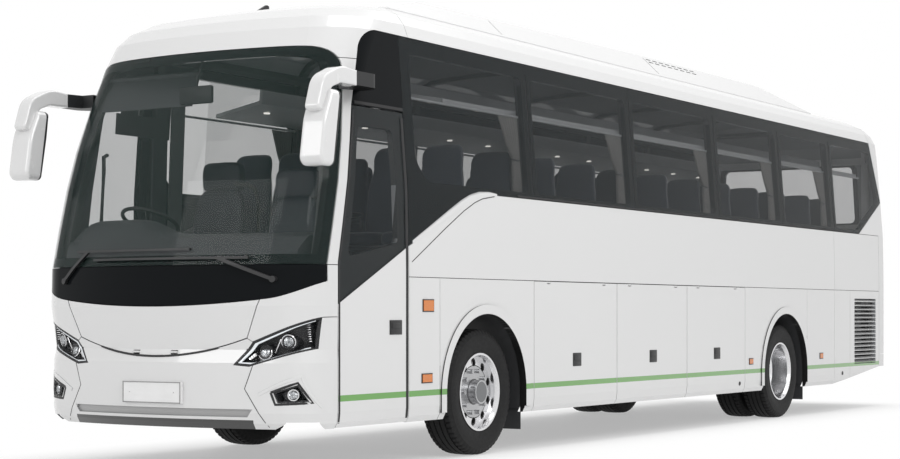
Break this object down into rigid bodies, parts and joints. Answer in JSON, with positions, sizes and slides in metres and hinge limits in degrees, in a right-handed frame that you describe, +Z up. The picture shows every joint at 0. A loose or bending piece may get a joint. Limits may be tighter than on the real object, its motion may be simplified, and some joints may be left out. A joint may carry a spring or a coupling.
{
  "type": "coach bus",
  "caption": "High-deck right-hand-drive coach with rolling twin-axle running gear, steered front wheels, outward-opening entry door and top-hinged luggage bay doors.",
  "frame": {"origin": "on the ground under the middle of the whole bus", "axes": "+X forward, +Y to the bus's left, +Z up"},
  "size_m": [12.0126, 2.84, 3.5999],
  "materials": {
    "white_paint": "gloss",
    "black_gloss": "gloss",
    "black_plastic": "satin",
    "glass": "clear",
    "lamp_glass": "clear",
    "lamp_chrome": "polished",
    "lamp_red": "gloss",
    "tyre": "matte",
    "rim_metal": "polished",
    "chassis_paint": "satin",
    "engine_iron": "rough",
    "floor_cover": "matte",
    "rack_plastic": "satin",
    "seat_cloth": "woven",
    "seat_metal": "satin",
    "plate_white": "satin",
    "curtain_cloth": "woven"
  },
  "bodies": {
    "body": {"arch_panels": "white_paint", "body_frame": "chassis_paint", "cab_seats": "seat_cloth", "cabin_floor": "floor_cover", "cabin_glass": "glass", "chassis_frame": "chassis_paint", "curtains": "curtain_cloth", "dashboard": "black_plastic", "front_axle": "chassis_paint", "front_bumper": "white_paint", "front_lamps": "lamp_chrome", "front_shell": "white_paint", "lamp_lenses": "lamp_glass", "luggage_racks": "rack_plastic", "mirrors": "black_plastic", "number_plates": "plate_white", "passenger_seats": "seat_cloth", "powertrain": "engine_iron", "rear_axle": "chassis_paint", "rear_shell": "white_paint", "roof_pod": "white_paint", "roof_shell": "white_paint", "seat_frames": "seat_metal", "side_frame_left": "chassis_paint", "side_frame_right": "chassis_paint", "side_panels": "white_paint", "signal_lamps": "lamp_red", "wheel_housings": "black_plastic", "window_band": "black_gloss", "windscreen": "glass", "windscreen_frame": "black_gloss", "wipers": "black_plastic"},
    "knuckle_left": {"knuckle_left": "chassis_paint"},
    "wheel_front_left": {"tyre_front_left": "tyre", "rim_front_left": "rim_metal"},
    "wheel_rear_left": {"tyre_rear_left": "tyre", "rim_rear_left": "rim_metal"},
    "luggage_door_left_1": {"luggage_door_left_1": "white_paint"},
    "luggage_door_left_2": {"luggage_door_left_2": "white_paint"},
    "luggage_door_left_3": {"luggage_door_left_3": "white_paint"},
    "knuckle_right": {"knuckle_right": "chassis_paint"},
    "wheel_front_right": {"tyre_front_right": "tyre", "rim_front_right": "rim_metal"},
    "wheel_rear_right": {"tyre_rear_right": "tyre", "rim_rear_right": "rim_metal"},
    "luggage_door_right_1": {"luggage_door_right_1": "white_paint"},
    "luggage_door_right_2": {"luggage_door_right_2": "white_paint"},
    "luggage_door_right_3": {"luggage_door_right_3": "white_paint"},
    "steering_wheel": {"steering_wheel": "black_plastic"},
    "door_arm": {"door_arm": "black_plastic"},
    "door_leaf": {"door_leaf": "black_gloss", "door_glass": "glass"},
    "front_flap": {"front_flap": "white_paint"},
    "engine_door": {"engine_door": "white_paint"}
  },
  "joints": [
    {"name": "steer_left", "type": "hinge", "parent": "body", "child": "knuckle_left", "pos_m": [3.5, 0.9, 0.49], "axis": [0, 0, 1], "range_deg": [-40, 40]},
    {"name": "steer_right", "type": "hinge", "parent": "body", "child": "knuckle_right", "pos_m": [3.5, -0.9, 0.49], "axis": [0, 0, 1], "range_deg": [-40, 40]},
    {"name": "spin_front_left", "type": "hinge", "parent": "knuckle_left", "child": "wheel_front_left", "pos_m": [3.5, 1.0625, 0.49], "axis": [0, 1, 0], "continuous": true},
    {"name": "spin_rear_left", "type": "hinge", "parent": "body", "child": "wheel_rear_left", "pos_m": [-2.7, 0.9065, 0.49], "axis": [0, 1, 0], "continuous": true},
    {"name": "spin_front_right", "type": "hinge", "parent": "knuckle_right", "child": "wheel_front_right", "pos_m": [3.5, -1.0625, 0.49], "axis": [0, 1, 0], "continuous": true},
    {"name": "spin_rear_right", "type": "hinge", "parent": "body", "child": "wheel_rear_right", "pos_m": [-2.7, -0.9065, 0.49], "axis": [0, 1, 0], "continuous": true},
    {"name": "steering_turn", "type": "hinge", "parent": "body", "child": "steering_wheel", "pos_m": [5.13, -0.74, 1.79], "axis": [-0.4226, 0, 0.9063], "range_deg": [-580, 580]},
    {"name": "door_arm_swing", "type": "hinge", "parent": "body", "child": "door_arm", "pos_m": [5.385, 1.14, 0.9], "axis": [0, 0, -1], "range_deg": [0, 115]},
    {"name": "door_leaf_swing", "type": "hinge", "parent": "door_arm", "child": "door_leaf", "pos_m": [4.935, 1.12, 1], "axis": [0, 0, 1], "range_deg": [0, 115]},
    {"name": "luggage_left_1_lift", "type": "hinge", "parent": "body", "child": "luggage_door_left_1", "pos_m": [2.007, 1.244, 1.351], "axis": [1, 0, 0], "range_deg": [0, 85]},
    {"name": "luggage_right_1_lift", "type": "hinge", "parent": "body", "child": "luggage_door_right_1", "pos_m": [2.007, -1.244, 1.351], "axis": [-1, 0, 0], "range_deg": [0, 85]},
    {"name": "luggage_left_2_lift", "type": "hinge", "parent": "body", "child": "luggage_door_left_2", "pos_m": [0.5275, 1.244, 1.351], "axis": [1, 0, 0], "range_deg": [0, 85]},
    {"name": "luggage_right_2_lift", "type": "hinge", "parent": "body", "child": "luggage_door_right_2", "pos_m": [0.5275, -1.244, 1.351], "axis": [-1, 0, 0], "range_deg": [0, 85]},
    {"name": "luggage_left_3_lift", "type": "hinge", "parent": "body", "child": "luggage_door_left_3", "pos_m": [-0.904, 1.244, 1.351], "axis": [1, 0, 0], "range_deg": [0, 85]},
    {"name": "luggage_right_3_lift", "type": "hinge", "parent": "body", "child": "luggage_door_right_3", "pos_m": [-0.904, -1.244, 1.351], "axis": [-1, 0, 0], "range_deg": [0, 85]},
    {"name": "front_flap_drop", "type": "hinge", "parent": "body", "child": "front_flap", "pos_m": [5.936, 0, 0.83], "axis": [0, 1, 0], "range_deg": [0, 80]},
    {"name": "engine_door_lift", "type": "hinge", "parent": "body", "child": "engine_door", "pos_m": [-5.987, 0, 1.306], "axis": [0, 1, 0], "range_deg": [0, 70]}
  ],
  "couplings": [
    {"joint": "steer_right", "follows": "steer_left", "ratio": 1},
    {"joint": "steering_turn", "follows": "steer_left", "ratio": 14.5},
    {"joint": "door_leaf_swing", "follows": "door_arm_swing", "ratio": 1}
  ]
}
